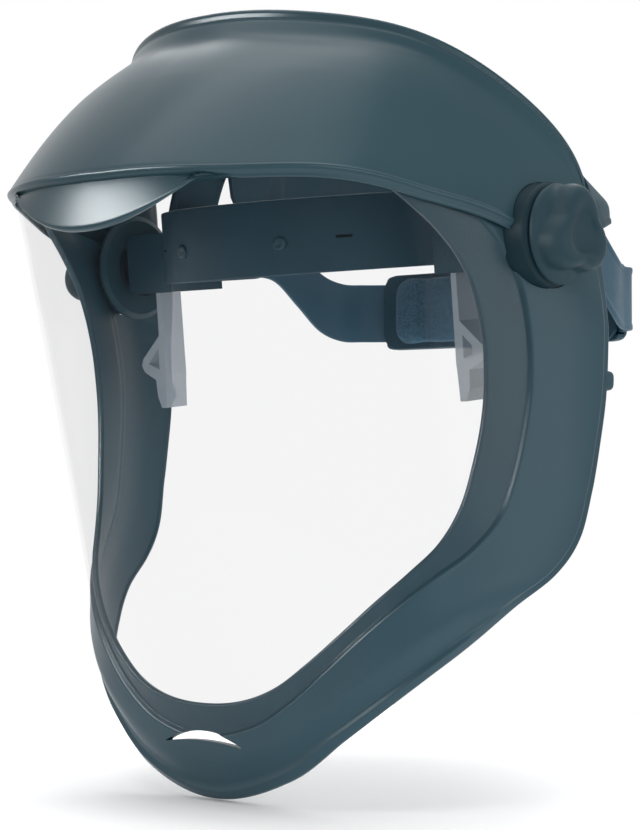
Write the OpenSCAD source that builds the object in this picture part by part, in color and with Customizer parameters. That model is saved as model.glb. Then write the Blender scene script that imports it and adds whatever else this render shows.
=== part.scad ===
// Raised-brow face shield: crown guard, chin frame and clear window turning on a ratchet headgear.
// Millimetres. Origin midway between the two pivots; front is -Y, wearer's left is +X, up is +Z.

/* [Shield] */
// half width of the side arms at pivot height
side_half_w = 122; // [110:0.5:134]
// front line of the shield surface 10 mm above the pivots
front_y = -129; // [-145:1:-115]
// backward slope of the front line, mm per mm of drop
rake = 0.294; // [0.2:0.002:0.36]
// depth centre of the shield plan curve
ring_y = 59; // [48:1:68]
// squareness of the plan curve
plan_p = 2.2; // [2:0.05:2.8]
// wall of the crown and the chin frame
frame_t = 2.8; // [2:0.1:4]
// depth of the rear and lower return flange
flange_d = 5; // [4:0.5:12]
// window thickness
window_t = 1.5; // [1:0.1:2]
// height of the brow edge at the front
brow_z = 27; // [20:1:34]
// drop of the front brow skirt below the brow edge
skirt_h = 26; // [8:1:32]
// height of the crown rim on the centre line
rim_z = 91; // [80:1:110]
// depth of the crown rim on the centre line
rim_y = -66; // [-85:1:-40]

/* [Pivots] */
// pivot stud diameter
stud_d = 10; // [6:0.5:12]
// radial running clearance of the pivots
run_c = 0.05; // [0.02:0.01:0.1]
// base disc diameter outside the arm
disc_d = 41; // [34:1:48]
// grip knob diameter over the lobes
knob_d = 40; // [30:1:46]
// knob length along the pivot
knob_l = 15; // [10:0.5:20]

/* [Headgear] */
// head ring half width
band_hw = 90; // [78:0.5:96]
// head ring half length
band_hl = 112; // [95:0.5:118]
// centre of the head ring behind the pivots
band_y = 55; // [40:1:62]
// front band height
band_h = 30; // [22:1:40]
// level of the front band above the pivots
band_z = 6.5; // [-6:0.5:10]
// forward tilt of the head ring, degrees
band_tilt = 6; // [0:0.5:10]
// band thickness
band_t = 2.2; // [1.5:0.1:3]
// sweatband thickness
sweat_t = 6; // [3:0.5:9]
// overhead strap width
strap_w = 30; // [20:1:32]
// centre of the overhead strap behind the pivots
strap_y = 22.5; // [16:0.5:24]
// overhead strap crest height
crest_z = 87; // [80:1:100]

/* [Rear unit] */
// half length of the ratchet housing
house_hl = 66; // [60:1:76]
// housing height
house_h = 36; // [28:1:44]
// inner face of the housing
house_y = 131; // [124:1:145]
// level of the ratchet axis below the pivots
nape_z = -15.5; // [-30:0.5:-8]
// ratchet knob diameter
rknob_d = 44; // [34:1:50]
// pinion pitch radius
pin_r = 6; // [5:0.5:8]

/* [Hidden] */
em = 2/plan_p;

function sgn(x) = x < 0 ? -1 : 1;
function spw(x, e) = sgn(x)*pow(abs(x), e);
function mix(a, b, t) = a + (b - a)*t;
function cr(a, b, c, d, t) = 0.5*((2*b) + (c - a)*t + (2*a - 5*b + 4*c - d)*t*t + (3*b - a - 3*c + d)*t*t*t);
function clampi(i, n) = max(0, min(n - 1, i));
function spl(T, s) = let(n = len(T), j = min(floor(s), n - 2), t = s - j)
  cr(T[clampi(j - 1, n)], T[clampi(j, n)], T[clampi(j + 1, n)], T[clampi(j + 2, n)], t);

// shield surface: plan curve angle u (0 front, 90 side) at height z, and its outward normal
function sh_a(z) = side_half_w + 0.03*z;
function sh_f(z) = front_y + rake*(10 - z);
function sh(u, z) = let(b = ring_y - sh_f(z)) [sh_a(z)*spw(sin(u), em), ring_y - b*spw(cos(u), em), z];
function sh_n(u, z) = let(n = cross(sh(u + 0.5, z) - sh(u - 0.5, z), sh(u, z + 0.5) - sh(u, z - 0.5))) n/norm(n);
function sh_o(u, z, d) = sh(u, z) + sh_n(u, z)*d;

// stations down one arm to the chin: opening edge u,z; outer edge u,z; window seat share of the width
ARM = [[48,17,83,4,0.34],[56,0,84,-10,0.35],[60.5,-16,84.2,-25,0.36],[62.5,-36,84.2,-43,0.36],
  [62.5,-56,83.8,-62,0.36],[61.5,-72,82.6,-80,0.35],[59.5,-88,81,-98,0.34],[56.5,-105,78.5,-118,0.31],
  [52,-119,73.5,-132,0.25],[46,-130,65,-144.2,0.205],[38.6,-142,56,-158.2,0.185],[31.2,-154.3,47,-170.8,0.19],
  [23.8,-166,39,-182,0.22],[16.4,-176,29.5,-195.4,0.27],[8.5,-182,17,-212.6,0.32],[0,-184,0,-222.5,0.34]];
AN = len(ARM) - 1;
function arm_i(i) = i > AN ? let(r = ARM[2*AN - i]) [-r[0], r[1], -r[2], r[3], r[4]] : ARM[max(0, i)];
function arm(s) = let(j = min(floor(s), AN), t = s - j) cr(arm_i(j - 1), arm_i(j), arm_i(j + 1), arm_i(j + 2), t);
function arm_pt(w, q, d) = let(r = arm(AN - abs(w)), k = sgn(w)) sh_o(k*mix(r[0], r[2], q), mix(r[1], r[3], q), d);
// outward flare of the outer edge, and relief of the arm top under the crown
function flare(s) = 3.6*max(0, min(1, (10 - s)/4))*min(1, max(0, s - 0.8)/1.7);
function face_d(s) = s < 2 ? -1.7 + 1.35*s : 1;
function arm_loop(qg, s) = let(e = flare(s), d = face_d(s)) [[0,-1.3 - frame_t],[0,-1.3],[qg - 0.02,-1.3],[qg,d],[0.66,d + e*0.45],[0.95,d + e],[1,e - 1.2],[1,e - flange_d],
  [0.975,e - flange_d],[0.955,d + e - frame_t - 1],[0.66,d + e*0.45 - frame_t],[qg + 0.06,d - frame_t],[qg - 0.04,-1.3 - frame_t]];

// closed tube from a list of point loops
module tube(L, pairs = false) {
  n = len(L); m = len(L[0]);
  polyhedron([for (l = L) for (p = l) p],
    concat(pairs ? [for (j = [0:m/2 - 2]) [j, j + 1, m - 2 - j, m - 1 - j]] : [[for (j = [0:m - 1]) j]],
      pairs ? [for (j = [0:m/2 - 2]) let(o = (n - 1)*m) [o + j + 1, o + j, o + m - 1 - j, o + m - 2 - j]] : [[for (j = [m - 1:-1:0]) (n - 1)*m + j]],
      [for (i = [0:n - 2]) for (j = [0:m - 1]) let(k = (j + 1)%m) [i*m + j, (i + 1)*m + j, (i + 1)*m + k]],
      [for (i = [0:n - 2]) for (j = [0:m - 1]) let(k = (j + 1)%m) [i*m + j, (i + 1)*m + k, i*m + k]]), convexity = 8);
}

/* crown */
function lip_z(t) = let(k = max(0, min(1, (abs(t) - 0.7)/0.25))) brow_z - 40*pow(abs(t), 3.5) + 6.5*k*k*(3 - 2*k);
function lip_u(t) = 74*t;
function bay(t) = pow(max(0, cos(min(90, abs(t)*250))), 1.2);
function skirt(t) = 2.6 + (skirt_h - 2.6)*bay(t);
// skirt face: crease below the brow edge, then a lip that leans out and rolls under
function skirt_d(v, t) = 3.6 + bay(t)*(v > -0.3 ? 2*v : v > -0.9 ? -0.6 - (v + 0.3)*10.5 : 5.7 + (v + 0.9)*14);
function rim(t) = let(f = pow(max(0, cos(90*t)), 0.87)) [120*spw(sin(90*t), 0.9), 26 + (rim_y - 26)*pow(f, 2.4), 10 + (rim_z - 10)*f + 4.6*exp(-pow((abs(t) - 0.44)/0.2, 2))];
function hdir(t) = let(a = sh_o(lip_u(t), lip_z(t), 3.6), r = rim(t), d = [a[0] - r[0], a[1] - r[1], 0]) d/max(0.01, norm(d));
function valley(t) = rim(t) + hdir(t)*9*(1 - 0.6*abs(t)) + [0, 0, -13*(1 - 0.7*abs(t))];
function bez(a, b, c, d, t) = a*pow(1 - t, 3) + b*3*t*pow(1 - t, 2) + c*3*t*t*(1 - t) + d*t*t*t;
function crown_o(v, t) = let(l = sh_o(lip_u(t), lip_z(t), 3.6), r = valley(t), h = norm([l[0] - r[0], l[1] - r[1]]), dz = r[2] - l[2])
  v < 0 ? sh_o(lip_u(t), lip_z(t) + v*skirt(t), skirt_d(v, t))
  : v <= 1 ? bez(l, l + [0, 0, dz*0.27] - hdir(t)*h*0.2, r + hdir(t)*h*0.3 - [0, 0, dz*0.16], r, v)
  : mix(r, rim(t), v - 1);
function crown_n(v, t) = let(e = 0.02, tt = max(-0.97, min(0.97, t)),
    n = cross(crown_o(v, tt + e) - crown_o(v, tt - e), crown_o(v + (v > 0.97 && v <= 1 ? 0 : e), tt) - crown_o(v - e, tt))) n/norm(n);
CV = [-1,-0.9,-0.6,-0.3,0,0.12,0.25,0.4,0.55,0.7,0.85,1,1.5,2];
function crown_loop(t) = concat([for (v = CV) crown_o(v, t)],
  [for (i = [len(CV) - 1:-1:0]) let(v = CV[i]) v < 0 ? sh_o(lip_u(t), lip_z(t) + v*skirt(t), max(1.2, skirt_d(v, t) - frame_t)) : crown_o(v, t) - crown_n(v, t)*frame_t]);

module pivot_holes() rotate([0, 90, 0]) for (k = [-160, 90]) translate([0, 0, k]) cylinder(r = disc_d/2 + 0.3, h = 70, $fn = 72);
module crown() color([0.26, 0.33, 0.36]) difference() {
  tube([for (i = [-24:24]) crown_loop(i/24)], true);
  pivot_holes();
}
module chin_frame() color([0.27, 0.34, 0.38]) difference() {
  tube([for (i = [-30:30]) let(w = i/2, r = arm(AN - abs(w))) [for (p = arm_loop(r[4], AN - abs(w))) arm_pt(w, p[0], p[1])]]);
  pivot_holes();
  translate([0, -40, 0]) rotate([90, 0, 0]) linear_extrude(80) polygon(concat([for (i = [-8:8]) [i*2.6, -198.6 + 5.2*(1 - pow(i/8, 2))]], [for (i = [7:-1:-7]) [i*2.6, -198.8]]));
}

/* window */
function win_row(s) = let(r = arm(s)) [mix(r[0], r[2], r[4] - 0.045), mix(r[1], r[3], r[4] - 0.045)];
WE = [for (i = [0:59]) let(g = win_row(14.7 - i*0.25)) [g[1], g[0]]];
function win_pt(s, c, d) = let(g = win_row(s), k = pow(max(0, 1 - (s - 1)/5), 2), z = mix(g[1], lip_z(g[0]*c/74) - 2, k)) sh_o(c*min(g[0], lookup(z, WE)), z, d);
module window() color([0.85, 0.9, 0.92, 0.35]) difference() {
  tube([for (i = [0:27]) let(s = 1 + i*0.505) concat([for (c = [-15:15]) win_pt(s, c/15, 0.6)], [for (c = [15:-1:-15]) win_pt(s, c/15, 0.6 - window_t)])], true);
  rotate([0, 90, 0]) for (k = [-160, 90]) translate([0, 0, k]) cylinder(r = disc_d/2 + 1, h = 70, $fn = 72);
}

/* pivots */
module boss_shape() rotate([0, 90, 0]) rotate_extrude($fn = 96)
  polygon([[stud_d/2 + run_c, 103.2],[9.3, 103.2],[9.3, 105.4],[disc_d/2, 105.4],[disc_d/2, 120.6],[disc_d/2 - 1.6, 122.4],[stud_d/2 + run_c, 122.4]]);
module boss_left() color([0.2, 0.26, 0.29]) boss_shape();
module boss_right() color([0.2, 0.26, 0.29]) mirror([1, 0, 0]) boss_shape();
module retainer_shape() rotate([0, 90, 0]) rotate_extrude($fn = 96) polygon([[9.35, 103],[21, 103],[23.2, 104],[23.2, 105.2],[9.35, 105.2]]);
module retainer_left() color([0.2, 0.26, 0.29]) retainer_shape();
module retainer_right() color([0.2, 0.26, 0.29]) mirror([1, 0, 0]) retainer_shape();
module knob_shape() difference() {
  union() {
    rotate([0, 90, 0]) translate([0, 0, 122.8]) cylinder(r = knob_d/2 - 4, h = knob_l - 4, $fn = 72);
    for (k = [0:2]) rotate([120*k, 0, 0]) hull() {
      translate([123.2, -6, 0]) cube([knob_l - 1, 12, 1]);
      translate([123.2, -4, knob_d/2 - 3]) cube([knob_l - 4, 8, 3]);
    }
  }
  rotate([0, 90, 0]) translate([0, 0, 121.8]) cylinder(r = 6.5, h = 8.5, $fn = 6);
  rotate([0, 90, 0]) translate([0, 0, 129.8]) cylinder(r = stud_d/2 + 0.3, h = 4, $fn = 48);
}
module knob_left() color([0.2, 0.27, 0.3]) knob_shape();
module knob_right() color([0.2, 0.27, 0.3]) mirror([1, 0, 0]) knob_shape();
module nut_shape() rotate([0, 90, 0]) translate([0, 0, 123]) difference() {
  cylinder(r = 6.4, h = 7, $fn = 6);
  translate([0, 0, -1]) cylinder(r = 3.2, h = 9, $fn = 48);
}
module knob_left_nut() color([0.75, 0.6, 0.3]) nut_shape();
module knob_right_nut() color([0.75, 0.6, 0.3]) mirror([1, 0, 0]) nut_shape();
module stud_shape() rotate([0, 90, 0]) {
  translate([0, 0, 91]) cylinder(r = 8, h = 3, $fn = 6);
  translate([0, 0, 93.5]) cylinder(r = stud_d/2, h = 28.9, $fn = 72);
  translate([0, 0, 122]) cylinder(r = 3.1, h = 10, $fn = 48);
}
module stud_left() color([0.7, 0.71, 0.73]) stud_shape();
module stud_right() color([0.7, 0.71, 0.73]) mirror([1, 0, 0]) stud_shape();
module washer_shape() rotate([0, 90, 0]) translate([0, 0, 100.7]) difference() {
  cylinder(r = 13, h = 2, $fn = 72);
  translate([0, 0, -1]) cylinder(r = stud_d/2 + 0.2, h = 4, $fn = 72);
}
module washer_left() color([0.15, 0.15, 0.16]) washer_shape();
module washer_right() color([0.15, 0.15, 0.16]) mirror([1, 0, 0]) washer_shape();
/* headgear */
function ell(a, o) = [(band_hw + o)*sin(a), band_y - (band_hl + o)*cos(a)];
module arcplate(a0, a1, o0, o1, z0, z1, n = 48) translate([0, 0, z0]) linear_extrude(z1 - z0)
  polygon(concat([for (i = [0:n]) ell(mix(a0, a1, i/n), o1)], [for (i = [n:-1:0]) ell(mix(a0, a1, i/n), o0)]));
module front_band() color([0.13, 0.17, 0.2]) tilt() arcplate(-98, 98, -band_t, 0, band_z - band_h/2, band_z + band_h/2, 60);
module sweatband() color([0.08, 0.09, 0.1]) tilt() arcplate(-72, 72, -band_t - 0.3 - sweat_t, -band_t - 0.3, band_z - band_h/2 + 1, band_z + band_h/2 - 1, 44);
module tilt() rotate([band_tilt, 0, 0]) children();
module bracket_shape() difference() {
  tilt() translate([0, 0, -12]) linear_extrude(26) polygon(concat([for (i = [0:12]) ell(mix(53, 82, i/12), 0.3)], [[100, 39.5], [100.5, 37], [100.5, -9], [99, -11.5]]));
  rotate([0, 90, 0]) translate([0, 0, 70]) cylinder(r = stud_d/2 + 0.1, h = 40, $fn = 72);
  rotate([0, 90, 0]) translate([0, 0, 70]) cylinder(r = 8.3, h = 24.1, $fn = 6);
  translate([84, strap_y - strap_w/2 - 0.2, 8.8]) cube([11.4, strap_w + 0.4, 18]);
}
module bracket_left() color([0.16, 0.2, 0.23]) bracket_shape();
module bracket_right() color([0.16, 0.2, 0.23]) mirror([1, 0, 0]) bracket_shape();
// detent strip: flat hanger, closed V nose pointing outward, tail below
module detent_shape() tilt() translate([0, 0.9, 0]) rotate([90, 0, 0]) difference() {
  linear_extrude(13) polygon([[79.6, -12.1],[82.2, -12.1],[82.4, -31],[93, -41],[94.2, -44],[92.5, -47],[86, -50.5],[85.5, -58],[83.5, -63],[80.6, -63],[80, -52],[79.6, -48]]);
  translate([0, 0, 7]) linear_extrude(7) polygon([[83.4, -36.5],[90, -43.2],[83.4, -46]]);
}
module detent_left() color([0.52, 0.58, 0.62]) detent_shape();
module detent_right() color([0.52, 0.58, 0.62]) mirror([1, 0, 0]) detent_shape();
module rivet(a, z, o) let(p = ell(a, 0)) translate([p[0], p[1], z]) rotate([0, 0, atan2(p[1] - band_y, p[0])]) rotate([0, 90, 0]) {
  translate([0, 0, -band_t]) cylinder(r = 1.6, h = band_t + o + 0.2, $fn = 24);
  translate([0, 0, o]) cylinder(r = 3, h = 1.2, $fn = 32);
}
module band_rivets() color([0.12, 0.15, 0.17]) tilt() { for (a = [-17, 17]) rivet(a, band_z - 2.5, 0.1); for (a = [-92, 92]) rivet(a, band_z, 2.1); }

// one half of the overhead strap: ellipse in the X-Z plane, past the crest by a1 degrees
module hoop_half(r0, a1) translate([0, strap_y + strap_w/2, 0]) rotate([90, 0, 0]) linear_extrude(strap_w)
  polygon(concat([for (i = [0:30]) let(t = mix(-a1, 90, i/30)) [(90 + r0)*sin(t), 9 + (crest_z - 9 + r0)*cos(t)]],
    [for (i = [30:-1:0]) let(t = mix(-a1, 90, i/30)) [(91.6 + r0)*sin(t), 9 + (crest_z - 7.4 + r0)*cos(t)]]));
module strap_left() color([0.12, 0.15, 0.18]) hoop_half(1, 22);
module strap_right() color([0.12, 0.15, 0.18]) mirror([1, 0, 0]) hoop_half(2.9, 22);
module strap_buttons() color([0.1, 0.12, 0.14]) for (x = [-14, 14]) translate([x, strap_y, crest_z - 1.2]) { cylinder(r = 2, h = 5.2, $fn = 24); translate([0, 0, 4.9]) cylinder(r = 4, h = 1.4, $fn = 32); }
// broad rear band: upright to band level, leaning in above it
function hoop_pt(a, o, z) = let(e = ell(a, o)) [e[0], e[1], z];
module rear_hoop() color([0.12, 0.15, 0.18]) tilt() tube([for (i = [-30:30]) let(k = abs(i)/30, a = 180 + 3*i, o = 0.25 - 27*pow(max(0, cos(min(90, 121*k))), 0.85),
    b = 12.8 - 16.8*pow(k, 2.4), z = k > 0.89 ? 22.5 : 13, n = 28 - 8*pow(max(0, (k - 0.7)/0.3), 2), c = 18*sign(i)*pow(k, 8))
  [hoop_pt(a, o + 1.7, b), hoop_pt(a, o + 1.7, z), hoop_pt(a + c, o + 1.7 - n, 48), hoop_pt(a + c, o - n, 48), hoop_pt(a, o, z), hoop_pt(a, o, b)]], true);
// nape strap: from the band end down to the housing mouth
NAPE = [[85.8, 42, 11],[86.4, 58, 12.5],[85.3, 73, 11],[84.3, 88, 0.4],[83, 103, -11],[79.5, 115, nape_z],[75.5, 128.4, nape_z],[63, 137.2, nape_z]];
module nape_shape() tube([for (i = [0:28]) let(p = spl(NAPE, i/4), q = spl(NAPE, min(7, i/4 + 0.05)) - spl(NAPE, max(0, i/4 - 0.05)), n = [q[1], -q[0]]/norm([q[0], q[1]])*0.8)
  [[p[0] - n[0], p[1] - n[1], p[2] - 14], [p[0] + n[0], p[1] + n[1], p[2] - 14], [p[0] + n[0], p[1] + n[1], p[2] + 14], [p[0] - n[0], p[1] - n[1], p[2] + 14]]]);
module nape_strap_left() color([0.13, 0.17, 0.2]) nape_shape();
module nape_strap_right() color([0.13, 0.17, 0.2]) mirror([1, 0, 0]) nape_shape();

/* rear unit */
module pill(hl, h, t) rotate([-90, 0, 0]) linear_extrude(t) hull() for (k = [-1, 1]) translate([k*(hl - h/2), 0]) circle(d = h, $fn = 64);
module ratchet_housing() color([0.14, 0.18, 0.21]) translate([0, house_y, nape_z]) difference() {
  union() { translate([-house_hl + 6, 0, -house_h/2]) cube([2*house_hl - 12, 2.5, house_h]); for (k = [-1, 1]) translate([k*(house_hl - 6), 0, 0]) rotate([-90, 0, 0]) cylinder(r = 6, h = 2.5, $fn = 40); }
  for (k = [-1, 1]) for (z = [-14, 14]) translate([k*30, -1, z]) rotate([-90, 0, 0]) cylinder(r = 1.6, h = 6, $fn = 24);
}
module ratchet_cover() color([0.14, 0.18, 0.21]) translate([0, house_y + 2.6, nape_z]) difference() {
  translate([-house_hl, 0, -house_h/2]) cube([2*house_hl, 10, house_h]);
  translate([-house_hl - 1, -1, -house_h/2 + 3]) cube([2*house_hl + 2, 8.4, house_h - 6]);
  translate([0, -1, 0]) rotate([-90, 0, 0]) cylinder(r = 5 + run_c, h = 20, $fn = 72);
}
module nape_pad() color([0.09, 0.1, 0.11]) translate([-house_hl + 8, house_y - 6.3, nape_z - house_h/2 + 1]) cube([2*house_hl - 16, 6, house_h - 2]);
module ratchet_screws() color([0.62, 0.63, 0.65]) for (k = [-1, 1]) for (z = [-14, 14]) translate([k*30, house_y + 0.1, nape_z + z]) rotate([-90, 0, 0]) cylinder(r = 1.5, h = 2.4, $fn = 32);
module pawl_spring() color([0.7, 0.71, 0.73]) translate([0, house_y + 13, nape_z]) rotate([-90, 0, 0]) difference() { cylinder(r = 15, h = 0.8, $fn = 64); translate([0, 0, -1]) cylinder(r = 12.5, h = 3, $fn = 64); }
mod = pin_r*2/12;
module rack_shape() translate([0, house_y + 4.2, nape_z + pin_r]) {
  translate([-10, 0, 1.1*mod]) cube([72, 4, 4]);
  for (i = [-2:14]) translate([(i + 0.5)*PI*mod, 0, 0]) rotate([-90, 0, 0]) linear_extrude(4) polygon([[-0.66*mod, -1.3*mod], [0.66*mod, -1.3*mod], [0.36*mod, 0.7*mod], [-0.36*mod, 0.7*mod]]);
}
module rack_left() color([0.16, 0.2, 0.23]) rack_shape();
module rack_right() color([0.16, 0.2, 0.23]) translate([0, 0, 2*nape_z]) rotate([0, 180, 0]) rack_shape();
module pinion() color([0.8, 0.8, 0.78]) translate([0, house_y + 4, nape_z]) rotate([-90, 0, 0]) difference() { union() {
  cylinder(r = pin_r - 1.2*mod, h = 4.6, $fn = 48);
  for (i = [0:11]) rotate(30*i) linear_extrude(4.4) polygon([[pin_r - 1.5*mod, -0.74*mod], [pin_r, -0.56*mod], [pin_r + 0.7*mod, -0.26*mod], [pin_r + 0.7*mod, 0.26*mod], [pin_r, 0.56*mod], [pin_r - 1.5*mod, 0.74*mod]]);
  translate([0, 0, 4]) cylinder(r = 5, h = 12, $fn = 72);
}
  translate([0, 0, 6]) cylinder(r = 1.7, h = 20, $fn = 32); }
module ratchet_knob() color([0.12, 0.15, 0.17]) translate([0, house_y + 14.1, nape_z]) rotate([-90, 0, 0]) difference() {
  union() { cylinder(r = rknob_d/2 - 2, h = 12, $fn = 96); for (i = [0:17]) rotate(20*i) translate([rknob_d/2 - 2.4, 0, 0]) cylinder(r = 2.4, h = 11, $fn = 24); }
  translate([0, 0, -1]) cylinder(r = 10, h = 7, $fn = 64);
  translate([0, 0, -1]) cylinder(r = 1.8, h = 20, $fn = 32);
  translate([0, 0, 8.5]) cylinder(r = 4.2, h = 6, $fn = 48);
}
module knob_screw() color([0.62, 0.63, 0.65]) translate([0, house_y + 14.1, nape_z]) rotate([-90, 0, 0]) { translate([0, 0, 8.6]) cylinder(r = 3.8, h = 2.2, $fn = 40); translate([0, 0, -2.9]) cylinder(r = 1.6, h = 12, $fn = 32); }

crown();
chin_frame();
window();
boss_left();
boss_right();
retainer_left();
retainer_right();
knob_left();
knob_left_nut();
knob_right();
knob_right_nut();
front_band();
sweatband();
bracket_left();
bracket_right();
stud_left();
stud_right();
washer_left();
washer_right();
detent_left();
detent_right();
band_rivets();
strap_left();
strap_right();
strap_buttons();
rear_hoop();
nape_strap_left();
nape_strap_right();
ratchet_housing();
ratchet_cover();
nape_pad();
ratchet_screws();
pawl_spring();
rack_left();
rack_right();
ratchet_knob();
pinion();
knob_screw();
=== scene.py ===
import bpy, bmesh, math
import numpy as np
from mathutils import Vector, Matrix


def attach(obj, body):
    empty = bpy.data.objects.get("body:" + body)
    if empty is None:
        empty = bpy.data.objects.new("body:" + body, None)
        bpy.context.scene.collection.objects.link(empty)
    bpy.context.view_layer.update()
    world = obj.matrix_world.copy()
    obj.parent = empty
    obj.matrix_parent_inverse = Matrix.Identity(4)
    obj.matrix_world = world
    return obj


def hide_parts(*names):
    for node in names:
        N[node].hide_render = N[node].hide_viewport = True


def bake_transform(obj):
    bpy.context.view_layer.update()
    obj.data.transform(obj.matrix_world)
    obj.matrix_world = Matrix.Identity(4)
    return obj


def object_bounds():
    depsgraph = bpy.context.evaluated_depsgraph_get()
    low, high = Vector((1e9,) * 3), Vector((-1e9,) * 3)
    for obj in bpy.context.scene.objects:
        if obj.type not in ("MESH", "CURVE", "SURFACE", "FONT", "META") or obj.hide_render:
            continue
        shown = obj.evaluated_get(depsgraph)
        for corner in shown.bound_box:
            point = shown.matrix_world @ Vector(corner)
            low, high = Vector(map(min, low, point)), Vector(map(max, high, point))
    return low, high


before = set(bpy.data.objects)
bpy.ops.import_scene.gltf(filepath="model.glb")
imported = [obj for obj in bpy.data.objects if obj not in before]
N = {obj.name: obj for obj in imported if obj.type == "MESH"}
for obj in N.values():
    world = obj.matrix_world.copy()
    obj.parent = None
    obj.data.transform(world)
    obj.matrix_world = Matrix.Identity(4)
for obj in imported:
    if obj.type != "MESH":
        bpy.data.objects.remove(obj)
CAD_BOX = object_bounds()
scene = bpy.context.scene
MM = 0.001
rad = math.radians

# ------------------------------------------------------------------ camera
AZ, EL, DIST = rad(40.0), rad(-1.2), 0.93
target = Vector((0.0, 0.004, -0.068))
back = Vector((math.sin(AZ)*math.cos(EL), -math.cos(AZ)*math.cos(EL), math.sin(EL)))
cam_data = bpy.data.cameras.new("camera")
cam = bpy.data.objects.new("camera", cam_data)
scene.collection.objects.link(cam)
cam.location = target + back*DIST
cam.rotation_euler = (-back).to_track_quat('-Z', 'Y').to_euler()
cam_data.sensor_width = 36.0
cam_data.lens = 2200.0/830.0*36.0
cam_data.clip_start = 0.01
scene.camera = cam

# ------------------------------------------------------------------ material helpers
def new_mat(name):
    m = bpy.data.materials.new(name)
    m.use_nodes = True
    nt = m.node_tree
    nt.nodes.clear()
    out = nt.nodes.new("ShaderNodeOutputMaterial")
    b = nt.nodes.new("ShaderNodeBsdfPrincipled")
    nt.links.new(b.outputs[0], out.inputs[0])
    tc = nt.nodes.new("ShaderNodeTexCoord")
    return m, nt, b, tc


def noise(nt, tc, scale, detail=2.0, rough=0.5):
    n = nt.nodes.new("ShaderNodeTexNoise")
    n.inputs["Scale"].default_value = scale
    n.inputs["Detail"].default_value = detail
    n.inputs["Roughness"].default_value = rough
    nt.links.new(tc.outputs["Object"], n.inputs["Vector"])
    return n


def ramp(nt, fac, stops):
    r = nt.nodes.new("ShaderNodeValToRGB")
    el = r.color_ramp.elements
    while len(el) < len(stops):
        el.new(0.5)
    for e, (p, c) in zip(el, stops):
        e.position = p
        e.color = (c[0], c[1], c[2], 1.0)
    nt.links.new(fac, r.inputs[0])
    return r


def span(nt, fac, lo, hi):
    r = nt.nodes.new("ShaderNodeMapRange")
    r.inputs["To Min"].default_value = lo
    r.inputs["To Max"].default_value = hi
    nt.links.new(fac, r.inputs["Value"])
    return r


def bump(nt, b, height, strength, dist):
    n = nt.nodes.new("ShaderNodeBump")
    n.inputs["Strength"].default_value = strength
    n.inputs["Distance"].default_value = dist
    nt.links.new(height, n.inputs["Height"])
    nt.links.new(n.outputs[0], b.inputs["Normal"])
    return n


def plastic(name, rgb, rough=0.42, vary=0.10, grain=0.25, grain_scale=1500.0, spec=0.5, scuff=0.25):
    """Moulded plastic: slow colour drift, fine spark-eroded grain, faint rubbing marks in the gloss."""
    m, nt, b, tc = new_mat(name)
    slow = noise(nt, tc, 16.0, 3.0)
    lo = [c*(1.0 - vary) for c in rgb]
    hi = [c*(1.0 + vary) for c in rgb]
    col = ramp(nt, slow.outputs["Fac"], [(0.3, lo), (0.7, hi)])
    nt.links.new(col.outputs[0], b.inputs["Base Color"])
    rub = noise(nt, tc, 120.0, 4.0, 0.6)
    rr = span(nt, rub.outputs["Fac"], rough*(1.0 - scuff), rough*(1.0 + scuff))
    nt.links.new(rr.outputs[0], b.inputs["Roughness"])
    if grain:
        fine = noise(nt, tc, grain_scale, 2.0)
        bump(nt, b, fine.outputs["Fac"], grain, 0.00005)
    b.inputs["Specular IOR Level"].default_value = spec
    b.inputs["IOR"].default_value = 1.5
    return m


def metal(name, rgb, rough=0.3, scale=400.0):
    m, nt, b, tc = new_mat(name)
    mp = nt.nodes.new("ShaderNodeMapping")
    mp.inputs["Scale"].default_value = (0.15, 1.0, 1.0)
    nt.links.new(tc.outputs["Object"], mp.inputs["Vector"])
    n = nt.nodes.new("ShaderNodeTexNoise")
    n.inputs["Scale"].default_value = scale
    nt.links.new(mp.outputs[0], n.inputs["Vector"])
    rr = span(nt, n.outputs["Fac"], rough*0.7, rough*1.4)
    nt.links.new(rr.outputs[0], b.inputs["Roughness"])
    col = ramp(nt, n.outputs["Fac"], [(0.3, [c*0.88 for c in rgb]), (0.7, rgb)])
    nt.links.new(col.outputs[0], b.inputs["Base Color"])
    b.inputs["Metallic"].default_value = 1.0
    bump(nt, b, n.outputs["Fac"], 0.15, 0.00006)
    return m


def cloth_mat(name, rgb, cell=0.0011, sheen=0.06):
    """Looped towelling: small round loops with painted light on their tops and painted shade in the gaps between them,
    soft sheen.
    """
    m, nt, b, tc = new_mat(name)
    v = nt.nodes.new("ShaderNodeTexVoronoi")
    v.inputs["Scale"].default_value = 1.0/cell
    nt.links.new(tc.outputs["Object"], v.inputs["Vector"])
    slow = noise(nt, tc, 60.0, 3.0)
    mix = nt.nodes.new("ShaderNodeMix")
    mix.data_type = 'RGBA'
    # loop colour: painted light at the loop centres and painted shade darkening the gaps between loops
    loops = ramp(nt, v.outputs["Distance"], [(0.1, [c*1.25 for c in rgb]), (0.75, [c*0.45 for c in rgb])])
    tone = ramp(nt, slow.outputs["Fac"], [(0.3, [c*0.75 for c in rgb]), (0.7, [c*1.3 for c in rgb])])
    mix.inputs[0].default_value = 0.45
    nt.links.new(loops.outputs[0], mix.inputs["A"])
    nt.links.new(tone.outputs[0], mix.inputs["B"])
    nt.links.new(mix.outputs["Result"], b.inputs["Base Color"])
    rr = span(nt, slow.outputs["Fac"], 0.85, 1.0)
    nt.links.new(rr.outputs[0], b.inputs["Roughness"])
    b.inputs["Sheen Weight"].default_value = sheen
    b.inputs["Sheen Roughness"].default_value = 0.5
    b.inputs["Specular IOR Level"].default_value = 0.2
    inv = span(nt, v.outputs["Distance"], 1.0, 0.0)
    bump(nt, b, inv.outputs[0], 0.6, 0.0005)
    return m


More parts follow.
